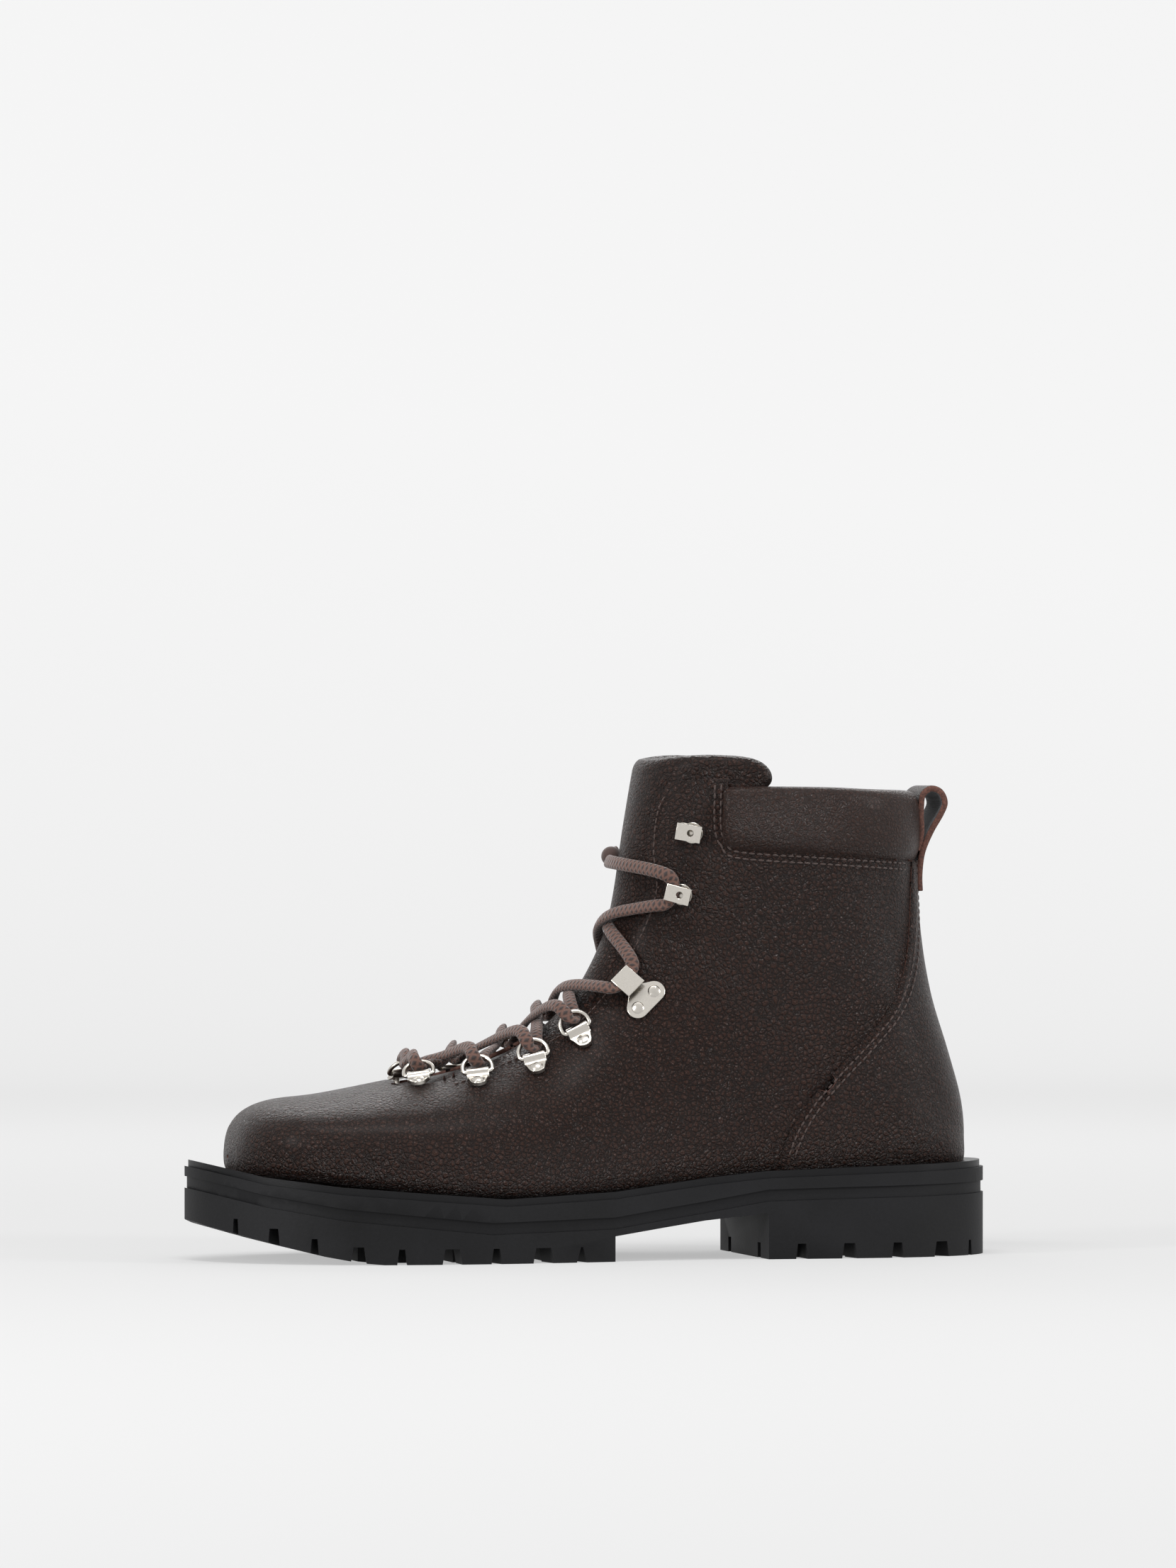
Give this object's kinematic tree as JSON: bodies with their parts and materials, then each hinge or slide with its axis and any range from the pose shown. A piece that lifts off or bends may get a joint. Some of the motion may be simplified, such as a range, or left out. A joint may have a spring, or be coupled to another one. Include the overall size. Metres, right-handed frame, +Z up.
{
  "type": "lace-up leather boot",
  "caption": "Ankle-high lace-up leather boot with lugged rubber sole, padded collar, swinging lace rings, hooks and a heel pull loop.",
  "frame": {"origin": "centre of the bounding box on the ground under the sole", "axes": "+X from toe to heel, -Y the outer side of this left boot, +Z up"},
  "size_m": [0.31, 0.1056, 0.1915],
  "materials": {
    "rubber": "matte",
    "welt": "satin",
    "nickel": "satin",
    "steel": "brushed",
    "lace": "braided",
    "textile": "woven",
    "foam": "open cell",
    "board": "fibreboard",
    "leather": "pebbled"
  },
  "bodies": {
    "boot": {"back_panel": "leather", "bottom_filler": "board", "collar": "leather", "collar_foam": "foam", "facing_stay_lateral": "board", "facing_stay_medial": "board", "footbed": "foam", "heel_counter": "board", "insole_board": "board", "insulation": "textile", "lace": "lace", "lace_knot": "lace", "lining": "textile", "lock_hook_lateral": "nickel", "lock_hook_medial": "nickel", "midsole": "rubber", "outsole": "rubber", "pull_tab_patch": "leather", "ring_clip_lateral_1": "nickel", "ring_clip_lateral_2": "nickel", "ring_clip_lateral_3": "nickel", "ring_clip_lateral_4": "nickel", "ring_clip_medial_1": "nickel", "ring_clip_medial_2": "nickel", "ring_clip_medial_3": "nickel", "ring_clip_medial_4": "nickel", "rivets": "nickel", "shank": "steel", "speed_hook_lateral_lower": "nickel", "speed_hook_lateral_upper": "nickel", "speed_hook_medial_lower": "nickel", "speed_hook_medial_upper": "nickel", "toe_puff": "board", "tongue_foam": "foam", "tongue_leather": "leather", "tongue_lining": "textile", "vamp_quarter": "leather", "welt": "welt"},
    "pull_tab": {"pull_tab": "leather"},
    "d_ring_lateral_1": {"d_ring_lateral_1": "nickel"},
    "d_ring_lateral_2": {"d_ring_lateral_2": "nickel"},
    "d_ring_lateral_3": {"d_ring_lateral_3": "nickel"},
    "d_ring_lateral_4": {"d_ring_lateral_4": "nickel"},
    "d_ring_medial_1": {"d_ring_medial_1": "nickel"},
    "d_ring_medial_2": {"d_ring_medial_2": "nickel"},
    "d_ring_medial_3": {"d_ring_medial_3": "nickel"},
    "d_ring_medial_4": {"d_ring_medial_4": "nickel"}
  },
  "joints": [
    {"name": "ring_hinge_lateral_1", "type": "hinge", "parent": "boot", "child": "d_ring_lateral_1", "pos_m": [-0.06929, -0.01575, 0.06997], "axis": [0.9493, -0.2845, 0.1336], "range_deg": [-6, 22], "deforming": ["lace"]},
    {"name": "ring_hinge_lateral_2", "type": "hinge", "parent": "boot", "child": "d_ring_lateral_2", "pos_m": [-0.0486, -0.02557, 0.07124], "axis": [0.9669, -0.2294, 0.1119], "range_deg": [-6, 22], "deforming": ["lace"]},
    {"name": "ring_hinge_lateral_3", "type": "hinge", "parent": "boot", "child": "d_ring_lateral_3", "pos_m": [-0.02701, -0.02682, 0.0768], "axis": [0.9541, -0.1858, 0.2349], "range_deg": [-6, 22], "deforming": ["lace"]},
    {"name": "ring_hinge_lateral_4", "type": "hinge", "parent": "boot", "child": "d_ring_lateral_4", "pos_m": [-0.00993, -0.02509, 0.0871], "axis": [0.8971, -0.0641, 0.4371], "range_deg": [-6, 22], "deforming": ["lace"]},
    {"name": "ring_hinge_medial_1", "type": "hinge", "parent": "boot", "child": "d_ring_medial_1", "pos_m": [-0.06923, 0.01692, 0.06999], "axis": [-0.9585, -0.2645, -0.1069], "range_deg": [-6, 22], "deforming": ["lace"]},
    {"name": "ring_hinge_medial_2", "type": "hinge", "parent": "boot", "child": "d_ring_medial_2", "pos_m": [-0.04844, 0.02258, 0.07127], "axis": [-0.9823, -0.1809, -0.0479], "range_deg": [-6, 22], "deforming": ["lace"]},
    {"name": "ring_hinge_medial_3", "type": "hinge", "parent": "boot", "child": "d_ring_medial_3", "pos_m": [-0.02695, 0.02087, 0.07682], "axis": [-0.9626, -0.1655, -0.2147], "range_deg": [-6, 22], "deforming": ["lace"]},
    {"name": "ring_hinge_medial_4", "type": "hinge", "parent": "boot", "child": "d_ring_medial_4", "pos_m": [-0.01008, 0.01972, 0.08701], "axis": [-0.8675, -0.1274, -0.4809], "range_deg": [-6, 22], "deforming": ["lace"]},
    {"name": "pull_tab_bend", "type": "hinge", "parent": "boot", "child": "pull_tab", "pos_m": [0.1292, 0, 0.1528], "axis": [0, 1, 0], "range_deg": [-4, 60], "stiffness_Nm_per_rad": 0.02}
  ]
}
